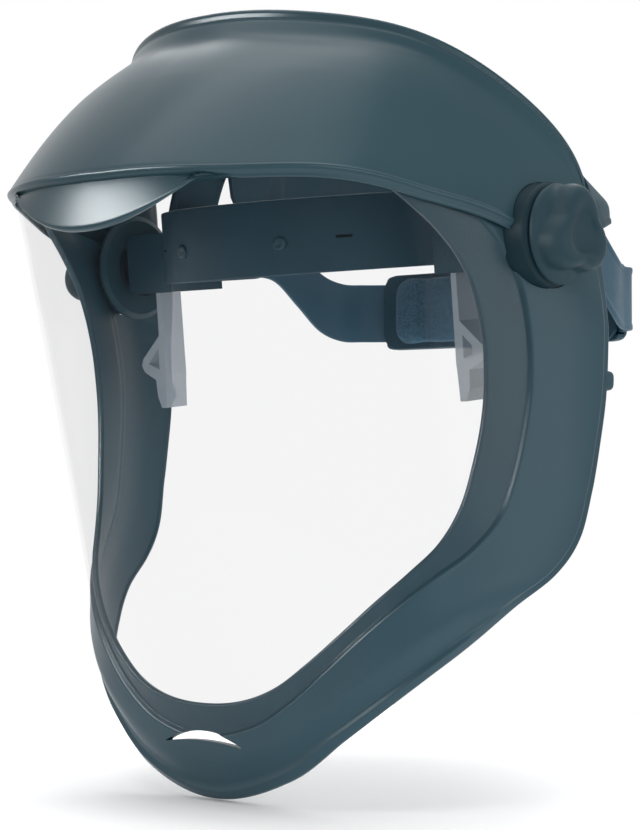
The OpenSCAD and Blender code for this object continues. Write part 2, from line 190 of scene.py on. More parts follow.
SHELL = plastic("shell_plastic", (0.027, 0.068, 0.088), rough=0.30, vary=0.07, grain=0.0, spec=0.30, scuff=0.06)
FRAME = plastic("frame_plastic", (0.022, 0.061, 0.083), rough=0.36, vary=0.07, grain=0.0, spec=0.32, scuff=0.10)
PIVOT = plastic("pivot_plastic", (0.019, 0.050, 0.067), rough=0.55, vary=0.08, grain=0.10, spec=0.22)
PLUG = plastic("plug_plastic", (0.010, 0.031, 0.042), rough=0.50, vary=0.08, grain=0.12, spec=0.14)
BAND = plastic("band_plastic", (0.018, 0.056, 0.082), rough=0.5, vary=0.12, grain=0.16, spec=0.22)
# nape strap plastic with painted light: a lighter copy of the band plastic that makes up for the shade the straps sit
# in
NAPE_PAINTED_LIGHT = plastic("nape_plastic_painted_light", (0.040, 0.104, 0.155), rough=0.46, vary=0.10, grain=0.16, spec=0.26)
TRIM = plastic("trim_plastic", (0.012, 0.024, 0.032), rough=0.4, vary=0.1, spec=0.3)
DETENT = plastic("detent_plastic", (0.43, 0.49, 0.55), rough=0.45, vary=0.06, grain=0.2)
DETENT.node_tree.nodes["Principled BSDF"].inputs["Alpha"].default_value = 0.66
GEAR = plastic("gear_plastic", (0.50, 0.51, 0.49), rough=0.40, vary=0.05)
STEEL = metal("plated_steel", (0.55, 0.56, 0.58), 0.28)
BRASS = metal("turned_brass", (0.66, 0.47, 0.2), 0.3)
FOAM = cloth_mat("sweat_cloth", (0.010, 0.016, 0.022))
# nape cushion cloth with painted light: lighter than the band colour to make up for the shade inside the rear unit
PAD_PAINTED_LIGHT = cloth_mat("nape_cloth_painted_light", (0.052, 0.126, 0.186))
THREAD = cloth_mat("stitch_thread", (0.05, 0.055, 0.06), cell=0.0004, sheen=0.2)


def clear_mat():
    """Clear sheet: nearly invisible face on, paler and more reflective at grazing angles, faint wiping marks."""
    m, nt, b, tc = new_mat("clear_sheet")
    lw = nt.nodes.new("ShaderNodeLayerWeight")
    lw.inputs["Blend"].default_value = 0.16
    a = ramp(nt, lw.outputs["Facing"], [(0.0, (0.05,)*3), (0.55, (0.07,)*3), (0.88, (0.15,)*3), (1.0, (0.55,)*3)])
    nt.links.new(a.outputs[0], b.inputs["Alpha"])
    slow = noise(nt, tc, 9.0, 2.0)
    col = ramp(nt, slow.outputs["Fac"], [(0.3, (0.04, 0.045, 0.06)), (0.7, (0.055, 0.06, 0.075))])
    nt.links.new(col.outputs[0], b.inputs["Base Color"])
    rub = noise(nt, tc, 500.0, 3.0)
    rr = span(nt, rub.outputs["Fac"], 0.05, 0.11)
    nt.links.new(rr.outputs[0], b.inputs["Roughness"])
    b.inputs["IOR"].default_value = 1.58
    return m


CLEAR = clear_mat()

# ------------------------------------------------------------------ mesh helpers
def mesh_obj(name, verts, faces, mat, smooth=True):
    me = bpy.data.meshes.new(name)
    me.from_pydata([tuple(map(float, v)) for v in verts], [], faces)
    me.validate()
    me.update()
    bm = bmesh.new()
    bm.from_mesh(me)
    bmesh.ops.recalc_face_normals(bm, faces=bm.faces)
    bm.to_mesh(me)
    bm.free()
    if smooth:
        me.polygons.foreach_set("use_smooth", [True]*len(me.polygons))
    me.materials.append(mat)
    o = bpy.data.objects.new(name, me)
    scene.collection.objects.link(o)
    return o


def loft(name, loops, mat, closed_path=False, caps=True, smooth=True):
    """Closed cross-section loops (n, m, 3) in millimetres joined into one closed skin."""
    L = np.asarray(loops, float)*MM
    n, m = L.shape[0], L.shape[1]
    faces = []
    rows = n if closed_path else n - 1
    for i in range(rows):
        a, c = i*m, ((i + 1) % n)*m
        for j in range(m):
            k = (j + 1) % m
            faces.append((a + j, c + j, c + k, a + k))
    if caps and not closed_path:
        faces.append(tuple(range(m)))
        faces.append(tuple((n - 1)*m + j for j in range(m - 1, -1, -1)))
    return mesh_obj(name, L.reshape(-1, 3), faces, mat, smooth)


def apply_mods(o):
    dg = bpy.context.evaluated_depsgraph_get()
    me = bpy.data.meshes.new_from_object(o.evaluated_get(dg))
    old = o.data
    o.modifiers.clear()
    o.data = me
    return o


def cut(o, *cutters):
    """Takes the cutters out of o, then drops them. A result larger than the piece is redone with another solver."""
    def box(me):
        c = np.empty(len(me.vertices)*3)
        me.vertices.foreach_get("co", c)
        c = c.reshape(-1, 3)
        return c.min(0), c.max(0)
    for c in cutters:
        keep = o.data
        lo, hi = box(keep)
        for solver, own in (('EXACT', False), ('EXACT', True), ('FAST', False), ('FLOAT', False)):
            try:
                md = o.modifiers.new("cut", 'BOOLEAN')
                md.operation = 'DIFFERENCE'
                md.solver = solver
                if solver == 'EXACT':
                    md.use_self = own
                md.object = c
            except TypeError:
                o.modifiers.clear()
                continue
            bpy.context.view_layer.update()
            apply_mods(o)
            if len(o.data.vertices):
                a, b = box(o.data)
                if (a > lo - 1e-5).all() and (b < hi + 1e-5).all():
                    break
            o.data = keep
        bpy.data.objects.remove(c)
    o.data.polygons.foreach_set("use_smooth", [True]*len(o.data.polygons))
    return o


def sharp(o, angle=32):
    """Smooth shading that keeps hard edges over the angle."""
    me = o.data
    me.polygons.foreach_set("use_smooth", [True]*len(me.polygons))
    bm = bmesh.new()
    bm.from_mesh(me)
    for e in bm.edges:
        if len(e.link_faces) == 2:
            e.smooth = e.calc_face_angle(0.0) < rad(angle)
    bm.to_mesh(me)
    bm.free()
    return o


def bevelled(o, width, seg=3, angle=35):
    md = o.modifiers.new("edge", 'BEVEL')
    md.width = width
    md.segments = seg
    md.limit_method = 'ANGLE'
    md.angle_limit = rad(angle)
    md.harden_normals = False
    return o


def fillet(P, R, seg=4):
    """Rounds the corners of a closed polygon P (n, 2) with radii R, the same point count whatever the shape."""
    P = np.asarray(P, float)
    n = len(P)
    out = []
    for i in range(n):
        p, a, b = P[i], P[i - 1], P[(i + 1) % n]
        la, lb = np.linalg.norm(a - p), np.linalg.norm(b - p)
        r = min(R[i], la*0.48, lb*0.48)
        s, e = p + (a - p)/max(la, 1e-9)*r, p + (b - p)/max(lb, 1e-9)*r
        for k in range(seg + 1):
            t = k/seg
            out.append(s*(1 - t)**2 + p*2*t*(1 - t) + e*t*t)
    return np.array(out)


def strip(name, path, up, prof, mat, closed=False):
    """Sweeps a profile (m, 2), x across the thickness and y along up, down a path (n, 3) in millimetres."""
    path, up = np.asarray(path, float), np.asarray(up, float)
    if up.ndim == 1:
        up = np.repeat(up[None], len(path), 0)
    tan = np.gradient(path, axis=0)
    tan /= np.linalg.norm(tan, axis=1)[:, None]
    side = np.cross(up, tan)
    side /= np.linalg.norm(side, axis=1)[:, None]
    pr = np.asarray(prof, float)
    if pr.ndim == 2:
        pr = np.repeat(pr[None], len(path), 0)
    loops = path[:, None, :] + side[:, None, :]*pr[:, :, 0:1] + up[:, None, :]*pr[:, :, 1:2]
    return loft(name, loops, mat, closed_path=closed)


def strap_profile(h, t, bead=0.5, bead_w=2.2):
    """Flat strap section with a raised bead along both edges."""
    P = [(-t/2, -h/2), (t/2, -h/2), (t/2 + bead, -h/2), (t/2 + bead, -h/2 + bead_w), (t/2, -h/2 + bead_w + 1.0),
         (t/2, h/2 - bead_w - 1.0), (t/2 + bead, h/2 - bead_w), (t/2 + bead, h/2), (-t/2, h/2)]
    P = [P[0]] + P[2:]
    R = [0.8, 0.9, 0.8, 0.6, 0.6, 0.8, 0.9, 0.8]
    return fillet(P, R, 3)


def lathe(name, prof, mat, axis='X', centre=(0, 0, 0), seg=128, rmod=None, sgnx=1):
    """Turns a closed profile (r, x) about an axis. rmod(theta, r, x) may change the radius."""
    loops = []
    for i in range(seg):
        a = 2*math.pi*i/seg
        pts = []
        for r, x in prof:
            rr = rmod(a, r, x) if rmod else r
            if axis == 'X':
                pts.append((centre[0] + sgnx*x, centre[1] + rr*math.sin(a), centre[2] + rr*math.cos(a)))
            else:
                pts.append((centre[0] + rr*math.cos(a), centre[1] + x, centre[2] + rr*math.sin(a)))
        loops.append(pts)
    return loft(name, loops, mat, closed_path=True)


# ------------------------------------------------------------------ shield surface, as in the CAD
side_half_w, front_y, rake, ring_y, em = 122.0, -129.0, 0.294, 59.0, 2/2.2
frame_t, flange_d, window_t = 2.8, 5.0, 1.5
brow_z, skirt_h, rim_z, rim_y = 27.0, 26.0, 91.0, -66.0


def spw(x, e):
    return np.sign(x)*np.abs(x)**e


def sh(u, z):
    u, z = np.broadcast_arrays(np.asarray(u, float), np.asarray(z, float))
    ur = np.radians(u)
    a = side_half_w + 0.03*z
    b = ring_y - (front_y + rake*(10 - z))
    return np.stack([a*spw(np.sin(ur), em), ring_y - b*spw(np.cos(ur), em), z], -1)


def sh_n(u, z):
    u, z = np.broadcast_arrays(np.asarray(u, float), np.asarray(z, float))
    n = np.cross(sh(u + 0.5, z) - sh(u - 0.5, z), sh(u, z + 0.5) - sh(u, z - 0.5))
    return n/np.linalg.norm(n, axis=-1, keepdims=True)


def sh_o(u, z, d):
    u, z, d = np.broadcast_arrays(np.asarray(u, float), np.asarray(z, float), np.asarray(d, float))
    return sh(u, z) + sh_n(u, z)*d[..., None]


ARM = np.array([[48,17,83,4,0.34],[56,0,84,-10,0.35],[60.5,-16,84.2,-25,0.36],[62.5,-36,84.2,-43,0.36],
  [62.5,-56,83.8,-62,0.36],[61.5,-72,82.6,-80,0.35],[59.5,-88,81,-98,0.34],[56.5,-105,78.5,-118,0.31],
  [52,-119,73.5,-132,0.25],[46,-130,65,-144.2,0.205],[38.6,-142,56,-158.2,0.185],[31.2,-154.3,47,-170.8,0.19],
  [23.8,-166,39,-182,0.22],[16.4,-176,29.5,-195.4,0.27],[8.5,-182,17,-212.6,0.32],[0,-184,0,-222.5,0.34]], float)
AN = len(ARM) - 1


def arm_i(i):
    if i > AN:
        r = ARM[2*AN - i].copy()
        r[0], r[2] = -r[0], -r[2]
        return r
    return ARM[max(0, i)]


def arm(s):
    j = min(int(math.floor(s)), AN)
    t = s - j
    a, b, c, d = arm_i(j - 1), arm_i(j), arm_i(j + 1), arm_i(j + 2)
    return 0.5*(2*b + (c - a)*t + (2*a - 5*b + 4*c - d)*t*t + (3*b - a - 3*c + d)*t**3)


def flare(s):
    return 3.6*max(0.0, min(1.0, (10 - s)/4))*min(1.0, max(0.0, s - 0.8)/1.7)


def face_d(s):
    return -1.7 + 1.35*s if s < 2 else 1.0


def lip_z(t):
    k = np.clip((np.abs(t) - 0.7)/0.25, 0.0, 1.0)
    return brow_z - 40*np.abs(t)**3.5 + 6.5*k*k*(3 - 2*k)


def rod(r, a, b, axis='X', centre=(0, 0, 0), seg=96):
    """Plain round cutter along an axis."""
    loops = []
    for x in (a, b):
        lp = []
        for i in range(seg):
            q = 2*math.pi*i/seg
            c, d = r*math.cos(q), r*math.sin(q)
            lp.append((x, centre[1] + c, centre[2] + d) if axis == 'X' else (centre[0] + c, x, centre[2] + d))
        loops.append(lp)
    return loft("cutter", loops, SHELL)


def pivot_cutters():
    """Two round plugs along X for the pivot holes."""
    return [rod(20.8, -150, -90), rod(20.8, 90, 150)]


# ------------------------------------------------------------------ chin frame
def build_chin():
    t = frame_t
    loops = []
    steps = 300
    for i in range(-steps, steps + 1):
        w = 15.0*i/steps
        s = 15.0 - abs(w)
        r = arm(s)
        k = -1.0 if w < 0 else 1.0
        qg = r[4]
        e, d = flare(s), face_d(s)
        W = float(np.linalg.norm(sh(r[2], r[3]) - sh(r[0], r[1])))
        st = min(1.0, max(0.0, (s - 0.6)/1.4))
        bw = 4.6
        f1 = d + 0.93*e + 0.4
        m = min(1.0, max(0.0, (s - 8.0)/2.4))                # chin bow: crowned face and a proud lower bead
        m = m*m*(3 - 2*m)
        cr = 2.3*m*(1.0 - 0.7*min(1.0, max(0.0, (s - 12.6)/2.4)))
        P = [(0, -1.3 - t), (0, -1.3), (qg*W - 1.5, -1.3), (qg*W - 0.5, d - 0.2), (qg*W + 1.2, d + 0.1), ((0.64 - 0.04*m)*W, d + 0.45*e + 0.7 + cr), (W - bw - 0.6 - 1.9*m, f1 - 0.7*m), (W - bw, f1 - 2.3*st + 3.3*m),
             (W - 0.6, e - 0.5 - 0.6*st + 1.5*m), (W, e - 1.6), (W, e - flange_d), (W - 1.6, e - flange_d),
             (W - 2.4, d + e - t - 2.4), (0.66*W, d + 0.45*e - t), (qg*W + 0.06*W, d - t), (qg*W - 0.04*W, -1.3 - t)]
        R = [1.3, 1.3, 0.35, 0.7, 1.5, 9, 1.5, 0.5, 1.2, 0.8, 0.75, 0.75, 1.5, 6, 2, 2]
        F = fillet(P, R, 4)
        q = F[:, 0]/W
        loops.append(sh_o(k*(r[0] + (r[2] - r[0])*q), r[1] + (r[3] - r[1])*q, F[:, 1]))
    o = loft("chin_bow", loops, FRAME)
    c = pivot_cutters()
    # crescent slot through the chin
    top = [(x, -199.6 + 5.2*(1 - (x/20.5)**2)) for x in np.linspace(-20.5, 20.5, 33)]
    bot = [(x, -199.9 + 1.9*(1 - (x/20.5)**2)) for x in np.linspace(19.8, -19.8, 25)]
    prof = np.array(top + bot)
    slot_loops = [[(x, y, z) for x, z in prof] for y in (-100.0, -40.0)]
    c.append(loft("slot_cutter", slot_loops, FRAME))
    cut(o, *c)
    sharp(o, 40)
    return o


chin = build_chin()
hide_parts("chin_frame"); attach(chin, "visor")

for k, side in ((1, "left"), (-1, "right")):             # rounded stop lug on the rear border of each arm
    r = arm(3.65)
    c = sh_o(k*r[2], r[3], flare(3.65) - 2.6)
    n = sh_n(k*r[2], r[3])
    back_dir = np.array([-n[1]*k, n[0]*k, 0.0])
    back_dir /= np.linalg.norm(back_dir)
    upd = np.cross(n, back_dir)
    lug = []
    for q in np.linspace(-1, 1, 15):
        f = max(0.03, math.sqrt(max(0.0, 1 - q**4)))
        P = fillet([(-2.0, -1.6*f), (4.4*f, -1.6*f), (4.4*f, 1.6*f), (-2.0, 1.6*f)], [0.3, 1.5, 1.5, 0.3], 4)
        lug.append([c + back_dir*px + n*py + upd*(q*4.2) for px, py in P])
    o = loft("arm_stop_" + side, lug, FRAME)
    sharp(o, 50)
    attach(o, "visor")

# ------------------------------------------------------------------ crown
def bay(t):
    return np.maximum(0.0, np.cos(np.radians(np.minimum(90.0, np.abs(t)*250))))**1.2


def rim(t):
    f = np.maximum(0.0, np.cos(np.radians(90*t)))**0.87
    return np.array([120*spw(np.sin(np.radians(90*t)), 0.9), 26 + (rim_y - 26)*f**2.4, 10 + (rim_z - 10)*f + 4.6*math.exp(-((abs(t) - 0.44)/0.2)**2)])


def crease_z(t):
    return lip_z(t) - 2.6 - 6.3*math.exp(-(t/0.27)**2) - 4.6*math.exp(-((abs(t) - 0.35)/0.2)**2)


def crown_column(t):
    """Outer line of the crown at one t, from the skirt's lower edge over the brow to the rim, with wall thickness."""
    u = 74*t
    b = float(bay(t))
    zc = crease_z(t)
    zb = min(lip_z(t) - (2.6 + (skirt_h - 2.6)*b), zc - 0.6)
    zs = zc + 2.6
    pts, thick = [], []
    for k in np.linspace(0, 1, 25):                      # skirt: rolled lower edge, leaning lip, crease
        z = zb + (zc - zb)*k
        lean = (1 - k)**0.92
        roll = 0.0 if k > 0.14 else (1 - k/0.14)**2
        pts.append(sh_o(u, z, 2.0 + 0.4*(1 - b) + b*(8.6*lean - 2.2*roll)))
        thick.append(1.5 + 0.9*b*(1 - k)**0.5)
    for k in np.linspace(0.12, 1, 7):                    # brow band
        pts.append(sh_o(u, zc + (zs - zc)*k, 2.3 + 1.4*math.sin(math.pi*0.5*k)))
        thick.append(1.7)
    for k in np.linspace(0.25, 1, 4):                    # shoulder above the band
        a = math.pi*0.5*k
        pts.append(sh_o(u, zs + 1.2*math.sin(a), 2.8 + 0.9*math.cos(a)))
        thick.append(1.9)
    l = sh_o(u, zs + 1.5, 2.55)
    R = rim(t)
    hd = np.array([l[0] - R[0], l[1] - R[1], 0.0])
    hd /= max(0.01, np.linalg.norm(hd))
    V = R + hd*9*(1 - 0.6*abs(t)) + np.array([0, 0, -13*(1 - 0.7*abs(t))])
    h = math.hypot(l[0] - V[0], l[1] - V[1])
    dz = V[2] - l[2]
    g = math.exp(-((abs(t) - 0.417)/0.185)**2)
    A = l + np.array([0, 0, dz*(0.299 - 0.028*g)]) - hd*h*(0.207 - 0.034*g)
    B = V + hd*h*(0.334 + 0.1*g) - np.array([0, 0, dz*(0.22 - 0.093*g)])
    upper = []
    for v in np.linspace(0.0, 1.0, 44):
        upper.append(l*(1 - v)**3 + A*3*v*(1 - v)**2 + B*3*v*v*(1 - v) + V*v**3)
    for v in np.linspace(0, 1, 22)[1:]:
        upper.append(V + (R - V)*v)
    U = np.array(upper)
    lo = 30
    for _ in range(14):                                  # soft valley
        S = U.copy()
        S[1:-1] = (U[:-2] + 2*U[1:-1] + U[2:])/4
        U[lo:-8] = S[lo:-8]
    up_dir = (R - V)/max(1e-6, np.linalg.norm(R - V))
    out = np.cross(np.array([math.cos(rad(90*t)), math.sin(rad(90*t)), 0.0]), up_dir)
    nrm = hd - up_dir*float(hd @ up_dir)
    nrm /= max(1e-6, np.linalg.norm(nrm))
    for i, v in enumerate(np.linspace(0, 1, 22)[1:]):    # groove and bead at the rim edge
        g = -0.7*math.exp(-((v - 0.70)/0.07)**2) + (0.9*math.sin(math.pi*min(1.0, max(0.0, (v - 0.76)/0.24)))**0.7 if v > 0.76 else 0.0)
        U[44 + i] = U[44 + i] + nrm*g
    for p in U:
        pts.append(p)
        thick.append(frame_t)
    return np.array(pts), np.array(thick)


def build_crown():
    ts = np.sin(np.linspace(-1, 1, 261)*math.pi/2)*0.35 + np.linspace(-1, 1, 261)*0.65
    cols = [crown_column(t) for t in ts]
    O = np.array([c[0] for c in cols])
    T = np.array([c[1] for c in cols])
    gt = np.gradient(O, axis=0)
    gv = np.gradient(O, axis=1)
    nr = np.cross(gt, gv)
    ln = np.linalg.norm(nr, axis=2, keepdims=True)
    nr = nr/np.maximum(ln, 1e-9)
    for _ in range(3):                                   # steady the wall direction
        a = nr.copy()
        a[:, 1:-1] = nr[:, :-2] + nr[:, 1:-1]*2 + nr[:, 2:]
        nr = a/np.maximum(np.linalg.norm(a, axis=2, keepdims=True), 1e-9)
    I = O - nr*T[:, :, None]
    tv = gv/np.maximum(np.linalg.norm(gv, axis=2, keepdims=True), 1e-9)
    m = O.shape[1]
    end, start = [], []
    for a in (0.25, 0.5, 0.75):                          # rounded edges
        th = math.pi*a
        end.append((O[:, -1] + I[:, -1])/2 + (O[:, -1] - I[:, -1])/2*math.cos(th) + tv[:, -1]*(T[:, -1, None]*0.5*math.sin(th)))
        start.append((O[:, 0] + I[:, 0])/2 - (O[:, 0] - I[:, 0])/2*math.cos(th) - tv[:, 0]*(T[:, 0, None]*0.5*math.sin(th)))
    loops = np.concatenate([O, np.stack(end, 1), I[:, ::-1], np.stack(start, 1)], axis=1)
    o = loft("brow_guard", loops, SHELL)
    cut(o, *pivot_cutters())
    sharp(o, 50)
    return o


crown = build_crown()
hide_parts("crown"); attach(crown, "visor")

# ------------------------------------------------------------------ window
def build_window():
    rows, cols = 110, 150
    outer, inner = [], []

    def edge(q):
        r = arm(q)
        return r[0] + (r[2] - r[0])*(r[4] - 0.04), r[1] + (r[3] - r[1])*(r[4] - 0.04)
    table = np.array([edge(q) for q in np.linspace(14.7, 0, 300)])
    for i in range(rows):
        s = 1 + 13.635*i/(rows - 1)
        g0, g1 = edge(s)
        k = max(0.0, 1 - (s - 1)/5)**2
        c = np.linspace(-1, 1, cols)
        u = g0*c
        top = np.array([min(lip_z(x/74) - 2, crease_z(x/74) + 1.5) for x in u])
        z = g1 + (top - g1)*k
        u = c*np.minimum(g0, np.interp(z, table[:, 1], table[:, 0]))
        for d, out in ((0.6, outer), (0.6 - window_t, inner)):
            p = sh_o(u, z, d)
            q = np.hypot(p[:, 1], p[:, 2])
            f = np.where((np.abs(p[:, 0]) > 90) & (q < 21.6), 21.6/np.maximum(q, 1e-6), 1.0)
            p[:, 1] *= f
            p[:, 2] *= f
            out.append(p)
    loops = [np.concatenate([a, b[::-1]]) for a, b in zip(outer, inner)]
    L = np.array(loops)*MM
    n, m = L.shape[:2]
    faces = []
    for i in range(n - 1):
        for j in range(m):
            k = (j + 1) % m
            faces.append((i*m + j, (i + 1)*m + j, (i + 1)*m + k, i*m + k))
    for base, rev in ((0, False), ((n - 1)*m, True)):
        for j in range(cols - 1):
            f = (base + j, base + j + 1, base + m - 2 - j, base + m - 1 - j)
            faces.append(f[::-1] if rev else f)
    o = mesh_obj("clear_window", L.reshape(-1, 3), faces, CLEAR)
    sharp(o, 40)
    return o


window = build_window()
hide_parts("window"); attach(window, "visor")

# ------------------------------------------------------------------ pivots
def build_pivot(k, side):
    prof = [(5.05, 103.2), (9.3, 103.2), (9.3, 105.4), (20.0, 105.4), (20.5, 105.9), (20.5, 119.6), (20.3, 120.6), (19.8, 121.4),
            (19.0, 122.0), (17.8, 122.4), (16.6, 122.4), (16.2, 122.1), (15.8, 121.6), (15.2, 121.5), (14.8, 121.9), (14.4, 122.4), (5.05, 122.4)]
    o = lathe("pivot_plug_" + side, prof, PLUG, sgnx=k)
    sharp(o, 40)
    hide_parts("boss_" + side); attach(o, "visor")

    # three-lobed grip: soft hollows between the lobes, crowned face with a shallow dish
    def rm(a, r, x):
        if r < 5.5:
            return r
        lobe = (0.5 + 0.5*math.cos(3*a))**0.8
        k2 = min(1.0, max(0.0, (x - 125.4)/3.0))
        k2 = k2*k2*(3 - 2*k2)
        deep = 0.30*min(1.0, max(0.0, (r - 5.5)/6.0))
        return r*(1.0 - deep*(1 - lobe)*k2)
    prof = [(6.6, 130.2), (6.6, 122.9), (18.8, 122.9), (19.5, 123.3), (19.7, 124.1), (19.4, 124.9), (18.8, 125.4), (18.6, 126.2), (18.9, 127.6), (19.1, 129.4), (19.0, 131.2),
            (18.5, 133.0), (17.6, 134.6), (16.3, 135.8), (14.6, 136.5), (12.6, 136.7), (10.8, 136.3), (9.2, 135.5), (7.6, 134.8), (5.4, 134.3), (2.6, 134.1), (0.02, 134.1), (0.02, 130.2)]
    g = lathe("pivot_grip_" + side, prof, PIVOT, sgnx=k, seg=180, rmod=rm)
    sharp(g, 45)
    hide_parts("knob_" + side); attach(g, "pivot_knob_" + side)


build_pivot(1, "left")
build_pivot(-1, "right")

# ------------------------------------------------------------------ headgear
band_hw, band_hl, band_y, band_h, band_z, band_t, sweat_t = 90.0, 112.0, 55.0, 30.0, 6.5, 2.2, 6.0
strap_y, strap_w, crest_z = 22.5, 30.0, 87.0
house_hl, house_h, house_y, nape_z, rknob_d = 66.0, 36.0, 131.0, -15.5, 44.0
TILT = np.array(Matrix.Rotation(rad(6.0), 3, 'X'))
UPT = TILT @ np.array([0, 0, 1.0])


def ell(a, o):
    a = np.radians(a)
    return np.stack([(band_hw + o)*np.sin(a), band_y - (band_hl + o)*np.cos(a)], -1)


def ring_path(a, o, z):
    e = ell(a, o)
    p = np.concatenate([e, np.broadcast_to(np.asarray(z, float), a.shape)[:, None]], 1)
    return p @ TILT.T


def build_band():
    a = np.linspace(-98, 98, 241)
    path = ring_path(a, -band_t/2, band_z)
    pr0 = strap_profile(band_h, band_t, 0.55, 2.6)
    pr = np.repeat(pr0[None], len(a), 0)
    for i, x in enumerate(a):                       # rounded ends
        e = (98 - abs(x))/98*190
        f = 1.0 if e > 10 else 0.72 + 0.28*math.sqrt(max(0.0, 1 - (1 - e/10)**2))
        pr[i, :, 1] *= f
    o = strip("front_headband", path, UPT, pr*np.array([-1.0, 1.0]) if False else pr, BAND)
    # one short slot at each side of the brow, where the sweatband hooks in
    cs = []
    for sx in (-1, 1):
        for q in (32.8,):
            p = ring_path(np.array([sx*q - 0.4, sx*q + 0.4]), -band_t/2, band_z)
            c = (p[0] + p[1])/2
            tdir = p[1] - p[0]
            tdir /= np.linalg.norm(tdir)
            nd = np.cross(tdir, UPT)
            P = fillet([(-3.4, -1.7), (3.4, -1.7), (3.4, -0.5), (-3.4, -0.5)], [0.5]*4, 4)
            lp = [[c + tdir*x + UPT*y + nd*d for x, y in P] for d in (-6, 6)]
            cs.append(loft("c", lp, BAND))
    cut(o, *cs)
    sharp(o, 45)
    return o


band = build_band()
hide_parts("front_band"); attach(band, "headgear")

for sfx, k in (("left", 1), ("right", -1)):
    r0 = 1.0 if k > 0 else 2.9
    t = np.radians(np.linspace(-22, 90, 121))
    path = np.stack([k*(90.8 + r0)*np.sin(t), np.full_like(t, strap_y), 9 + (crest_z - 8.2 + r0)*np.cos(t)], 1)
    if k < 0:
        path = path[::-1]
    pr = np.repeat(strap_profile(strap_w, 1.6, 0.45, 2.4)[None], len(path), 0)
    tt = t if k > 0 else t[::-1]
    for i in range(len(path)):                      # rounded tip at the crest overlap
        e = (tt[i] - t[0])*90
        f = 1.0 if e > 14 else 0.30 + 0.70*math.sqrt(max(0.0, 1 - (1 - e/14)**2))
        pr[i, :, 1] *= f
    o = strip("overhead_strap_" + sfx, path, (0, 1.0, 0), pr, BAND)
    cs = []
    for j in range(7):                              # row of size holes
        ang = rad(4 + 6.0*j)
        x, z = k*(90.8 + r0)*math.sin(ang), 9 + (crest_z - 8.2 + r0)*math.cos(ang)
        n = Vector((k*math.sin(ang)/90, 0, math.cos(ang)/80)).normalized()
        q = n.to_track_quat('Z', 'Y').to_matrix()
        P = fillet([(-2.1, -2.1), (2.1, -2.1), (2.1, 2.1), (-2.1, 2.1)], [2.0]*4, 5)
        lp = []
        for d in (-5, 5):
            lp.append([np.array(q @ Vector((px, py, d))) + np.array([x, strap_y, z]) for px, py in P])
        if abs(x - 14) > 5 and abs(x + 14) > 5:
            cs.append(loft("c", lp, BAND))
    cut(o, *cs)
    sharp(o, 45)
    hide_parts("strap_" + sfx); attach(o, "headgear")

# broad rear band: upright to band level, leaning in above it, beads along both edges
def build_hoop():
    loops = []
    for x in np.linspace(-1, 1, 201):
        k = abs(x)
        a = 180 + 90*x
        o = 0.25 - 27*max(0.0, math.cos(rad(min(90.0, 121*k))))**0.85
        b = 12.8 - 16.8*k**2.4
        zl = 13 + 9.5*min(1.0, max(0.0, (k - 0.867)/0.033))
        n = 28 - 8*max(0.0, (k - 0.7)/0.3)**2
        c = math.copysign(18.0, x)*k**8
        e = (1 - k)*140
        rnd = 0.0 if e > 8 else 1 - math.sqrt(max(0.0, 1 - (1 - e/8)**2))
        lo, hi = b + 5*rnd, 48 - 3*rnd
        sl = n/(48 - zl)
        P = [(0, lo), (2.2, lo), (2.2, lo + 2.0), (1.7, lo + 2.6), (1.7, zl), (1.7 - sl*(hi - 3.2 - zl), hi - 3.2), (2.3 - sl*(hi - 2.6 - zl), hi - 2.6), (2.1 - sl*(hi - zl), hi), (-sl*(hi - zl), hi), (0, zl)]
        F = fillet(P, [0.8, 0.8, 0.5, 0.5, 10, 0.5, 0.5, 0.8, 0.8, 10], 3)
        lp = []
        for dd, zz in F:
            m = max(0.0, min(1.0, (zz - zl)/(48 - zl)))
            q = ell(np.array(a + c*m), o + dd)
            lp.append(TILT @ np.array([q[0], q[1], zz]))
        loops.append(lp)
    o = loft("rear_ring", loops, BAND)
    sharp(o, 45)
    return o


hoop = build_hoop()
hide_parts("rear_hoop"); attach(hoop, "headgear")

# nape straps
NAPE = np.array([[85.8, 42, 11],[86.4, 58, 12.5],[85.3, 73, 11],[84.3, 88, 0.4],[83, 103, -11],[79.5, 115, nape_z],[75.5, 128.4, nape_z],[63, 137.2, nape_z]])


def spl(T, s):
    n = len(T)
    j = min(int(math.floor(s)), n - 2)
    t = s - j
    a, b, c, d = T[max(0, j - 1)], T[j], T[min(n - 1, j + 1)], T[min(n - 1, j + 2)]
    return 0.5*(2*b + (c - a)*t + (2*a - 5*b + 4*c - d)*t*t + (3*b - a - 3*c + d)*t**3)


for sfx, sx in (("left", 1), ("right", -1)):
    ss = np.linspace(0, 7, 141)
    path = np.array([spl(NAPE, s) for s in ss])*np.array([sx, 1, 1])
    flat = path.copy()
    tan = np.gradient(path, axis=0)
    tan[:, 2] = 0
    tan /= np.linalg.norm(tan, axis=1)[:, None]
    side = np.cross(np.array([0, 0, 1.0]), tan)
    pr0 = strap_profile(28.0, 1.6, 0.35, 2.2)*np.array([sx*-1.0 if sx > 0 else 1.0, 1.0])
    pr = np.repeat(pr0[None], len(ss), 0)
    for i in range(len(ss)):
        e = ss[i]*16
        pr[i, :, 1] *= 1.0 if e > 10 else 0.55 + 0.45*math.sqrt(max(0.0, 1 - (1 - e/10)**2))
    loops = path[:, None, :] + side[:, None, :]*pr[:, :, 0:1] + np.array([0, 0, 1.0])*pr[:, :, 1:2]
    # the nape straps carry the lightened plastic, painted light standing in for the shade inside the headgear
    o = loft("nape_band_" + sfx, loops, NAPE_PAINTED_LIGHT)
    sharp(o, 45)
    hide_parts("nape_strap_" + sfx)
    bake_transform(o)

